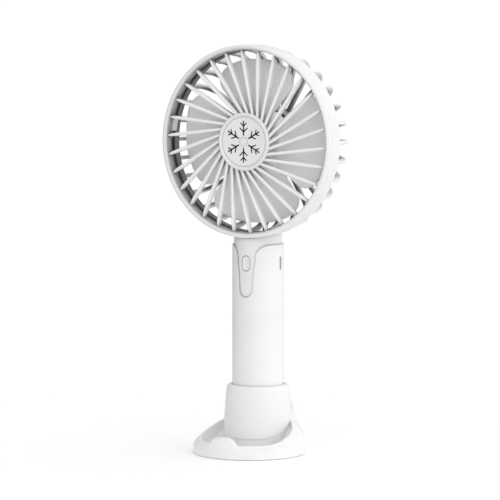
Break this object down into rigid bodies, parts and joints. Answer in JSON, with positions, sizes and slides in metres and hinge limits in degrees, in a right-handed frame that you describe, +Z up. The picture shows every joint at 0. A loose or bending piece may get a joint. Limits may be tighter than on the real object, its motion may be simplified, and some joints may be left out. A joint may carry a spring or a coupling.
{
  "type": "handheld electric fan",
  "caption": "Handheld electric fan with a caged round head, slim battery handle and push button, standing in a desk dock with a phone trough.",
  "frame": {"origin": "on the handle's axis, on the surface that the dock stands on", "axes": "+Z up along the handle; the fan blows towards -Y; +X is to the right of a person facing the fan"},
  "size_m": [0.105, 0.0627, 0.2232],
  "materials": {
    "white_plastic": "satin moulded ABS",
    "impeller_plastic": "smooth moulded",
    "badge_plastic": "polished",
    "rubber": "fine matt foam",
    "steel": "plain",
    "brass": "turned",
    "magnet": "sintered ferrite",
    "copper": "enamelled copper winding",
    "circuit_board": "solder mask",
    "black_plastic": "moulded",
    "cell_wrap": "shrink-wrapped cell",
    "red_insulation": "silicone wire",
    "black_insulation": "silicone wire"
  },
  "bodies": {
    "dock": {"dock_foot": "white_plastic", "dock_cup": "white_plastic", "dock_base_cover": "white_plastic", "anti_slip_pad": "rubber", "dock_screw_1": "steel", "dock_screw_2": "steel", "dock_screw_3": "steel"},
    "fan": {"head_housing": "white_plastic", "handle_sleeve": "white_plastic", "handle_end_cap": "white_plastic", "rear_grille": "white_plastic", "rear_cap": "white_plastic", "bearing_tube": "brass", "bearing_front": "steel", "bearing_rear": "steel", "stator_core": "steel", "coil_1": "copper", "coil_2": "copper", "coil_3": "copper", "coil_4": "copper", "coil_5": "copper", "coil_6": "copper", "motor_pcb": "circuit_board", "motor_lead_red": "red_insulation", "motor_lead_black": "black_insulation", "battery_cell": "cell_wrap", "battery_contact": "steel", "battery_spring": "steel", "control_pcb": "circuit_board", "controller_chip": "black_plastic", "boost_inductor": "magnet", "tact_switch": "black_plastic", "usb_socket": "steel", "usb_tongue": "black_plastic"},
    "rotor": {"impeller": "impeller_plastic", "rotor_yoke": "steel", "rotor_magnet": "magnet", "motor_shaft": "steel"},
    "button": {"power_button": "white_plastic", "switch_plunger": "black_plastic"},
    "grille": {"front_grille": "white_plastic", "hub_badge": "badge_plastic"}
  },
  "joints": [
    {"name": "dock_lift", "type": "slide", "parent": "dock", "child": "fan", "axis": [0, 0, 1], "range_m": [0, 0.04]},
    {"name": "impeller_spin", "type": "hinge", "parent": "fan", "child": "rotor", "pos_m": [0, 0, 0.1707], "axis": [0, -1, 0], "continuous": true},
    {"name": "power_button_press", "type": "slide", "parent": "fan", "child": "button", "axis": [0, 1, 0], "range_m": [0, 0.0006], "stiffness_N_per_m": 800, "springref_m": -0.0004},
    {"name": "front_grille_twist", "type": "hinge", "parent": "fan", "child": "grille", "pos_m": [0, 0, 0.1707], "axis": [0, -1, 0], "range_deg": [0, 15]}
  ]
}
